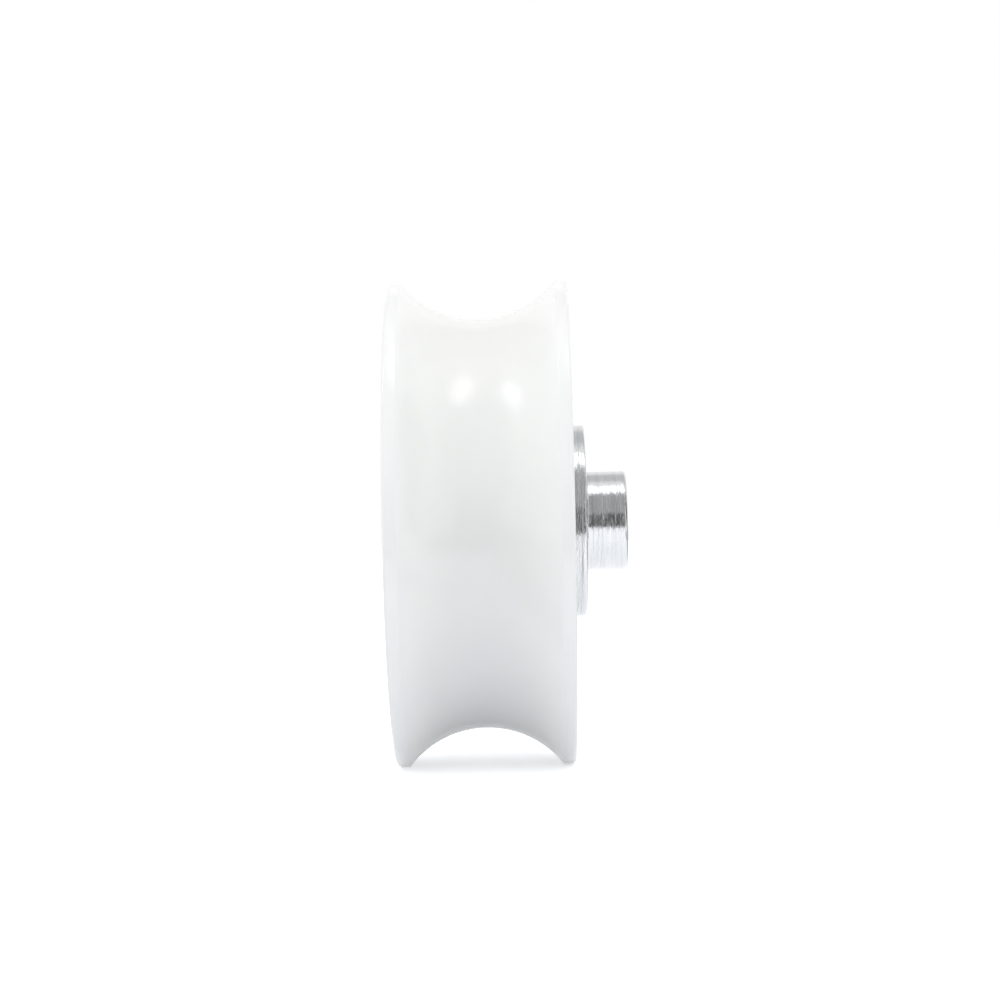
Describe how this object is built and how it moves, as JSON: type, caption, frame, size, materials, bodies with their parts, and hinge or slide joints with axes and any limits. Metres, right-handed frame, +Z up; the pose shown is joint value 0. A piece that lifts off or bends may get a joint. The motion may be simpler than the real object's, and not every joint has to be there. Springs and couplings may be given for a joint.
{
  "type": "sliding door roller",
  "caption": "Grooved nylon wheel moulded over a shielded ball bearing, on a flanged steel axle with a tapped spigot; carries an automatic sliding door along a round-topped rail.",
  "frame": {"origin": "on the spin axis, in the middle of the tread groove's width", "axes": "+Y along the spin axis, out through the flange and the spigot; +Z up; +X along the rail"},
  "size_m": [0.048, 0.0231, 0.048],
  "materials": {
    "nylon": "gloss",
    "plated_steel": "satin",
    "bearing_steel": "satin",
    "shield_steel": "satin",
    "cage_steel": "satin",
    "spring_steel": "satin"
  },
  "bodies": {
    "axle": {"axle": "plated_steel", "bearing_inner_ring": "bearing_steel", "circlip": "spring_steel"},
    "wheel": {"tread_wheel": "nylon", "bearing_outer_ring": "bearing_steel", "shield_inboard": "shield_steel", "shield_outboard": "shield_steel"},
    "ball_cage": {"cage_half_inboard": "cage_steel", "cage_half_outboard": "cage_steel", "cage_rivets": "cage_steel"},
    "ball_1": {"bearing_ball_1": "bearing_steel"},
    "ball_2": {"bearing_ball_2": "bearing_steel"},
    "ball_3": {"bearing_ball_3": "bearing_steel"},
    "ball_4": {"bearing_ball_4": "bearing_steel"},
    "ball_5": {"bearing_ball_5": "bearing_steel"},
    "ball_6": {"bearing_ball_6": "bearing_steel"},
    "ball_7": {"bearing_ball_7": "bearing_steel"},
    "ball_8": {"bearing_ball_8": "bearing_steel"}
  },
  "joints": [
    {"name": "wheel_spin", "type": "hinge", "parent": "axle", "child": "wheel", "pos_m": [0, 0, 0], "axis": [0, 1, 0], "continuous": true},
    {"name": "cage_spin", "type": "hinge", "parent": "axle", "child": "ball_cage", "pos_m": [0, 0, 0], "axis": [0, 1, 0], "continuous": true},
    {"name": "ball_1_spin", "type": "hinge", "parent": "ball_cage", "child": "ball_1", "pos_m": [0.01, 0, 0], "axis": [0, 1, 0], "continuous": true},
    {"name": "ball_2_spin", "type": "hinge", "parent": "ball_cage", "child": "ball_2", "pos_m": [0.00707, 0, 0.00707], "axis": [0, 1, 0], "continuous": true},
    {"name": "ball_3_spin", "type": "hinge", "parent": "ball_cage", "child": "ball_3", "pos_m": [0, 0, 0.01], "axis": [0, 1, 0], "continuous": true},
    {"name": "ball_4_spin", "type": "hinge", "parent": "ball_cage", "child": "ball_4", "pos_m": [-0.00707, 0, 0.00707], "axis": [0, 1, 0], "continuous": true},
    {"name": "ball_5_spin", "type": "hinge", "parent": "ball_cage", "child": "ball_5", "pos_m": [-0.01, 0, 0], "axis": [0, 1, 0], "continuous": true},
    {"name": "ball_6_spin", "type": "hinge", "parent": "ball_cage", "child": "ball_6", "pos_m": [-0.00707, 0, -0.00707], "axis": [0, 1, 0], "continuous": true},
    {"name": "ball_7_spin", "type": "hinge", "parent": "ball_cage", "child": "ball_7", "pos_m": [0, 0, -0.01], "axis": [0, 1, 0], "continuous": true},
    {"name": "ball_8_spin", "type": "hinge", "parent": "ball_cage", "child": "ball_8", "pos_m": [0.00707, 0, -0.00707], "axis": [0, 1, 0], "continuous": true}
  ],
  "couplings": [
    {"joint": "cage_spin", "follows": "wheel_spin", "ratio": 0.61905},
    {"joint": "ball_1_spin", "follows": "wheel_spin", "ratio": 1.9809},
    {"joint": "ball_2_spin", "follows": "wheel_spin", "ratio": 1.9809},
    {"joint": "ball_3_spin", "follows": "wheel_spin", "ratio": 1.9809},
    {"joint": "ball_4_spin", "follows": "wheel_spin", "ratio": 1.9809},
    {"joint": "ball_5_spin", "follows": "wheel_spin", "ratio": 1.9809},
    {"joint": "ball_6_spin", "follows": "wheel_spin", "ratio": 1.9809},
    {"joint": "ball_7_spin", "follows": "wheel_spin", "ratio": 1.9809},
    {"joint": "ball_8_spin", "follows": "wheel_spin", "ratio": 1.9809}
  ]
}
